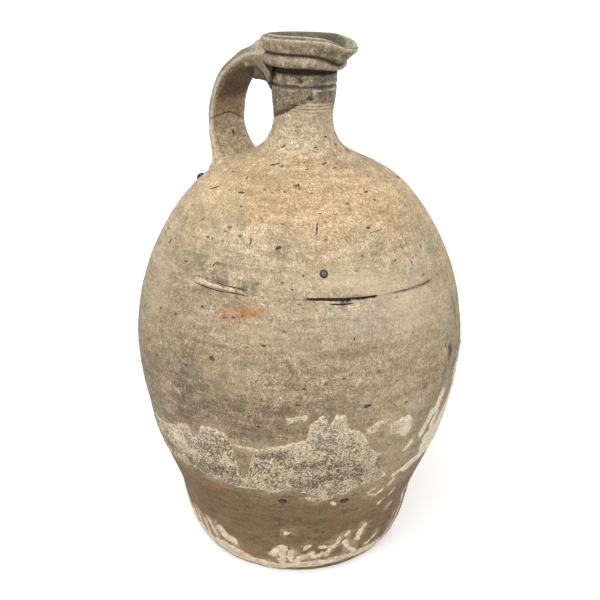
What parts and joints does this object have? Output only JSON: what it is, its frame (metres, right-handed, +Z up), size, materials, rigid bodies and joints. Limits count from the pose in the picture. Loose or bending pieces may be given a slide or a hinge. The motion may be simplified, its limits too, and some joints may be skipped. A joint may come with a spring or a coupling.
{
  "type": "stoneware jug",
  "caption": "Stoneware jug with an egg-shaped body on a straight foot, a slim neck, a collared mouth with a pouring lip, and a strap handle. It holds and pours liquid.",
  "frame": {"origin": "centre of the flat underside, on the ground", "axes": "+Z up along the jug's axis; +X from the axis towards the pouring lip; the handle is on the -X side"},
  "size_m": [0.2552, 0.2552, 0.4],
  "materials": {
    "lower_body": "matt grey-buff stoneware, toasted brown at the foot",
    "belly_slip": "matt pale slip",
    "upper_body": "matt warm buff stoneware",
    "collar_slip": "dark fired slip",
    "collar": "thin grey-olive ash glaze, glossy",
    "handle": "thin grey-olive ash glaze above, bare buff clay below",
    "handle_top_slip": "glazed slip",
    "handle_foot_slip": "matt buff slip"
  },
  "bodies": {
    "root": {"lower_body": "lower_body", "belly_slip": "belly_slip", "upper_body": "upper_body", "collar_slip": "collar_slip", "collar": "collar", "handle": "handle", "handle_top_slip": "handle_top_slip", "handle_foot_slip": "handle_foot_slip"}
  },
  "joints": []
}
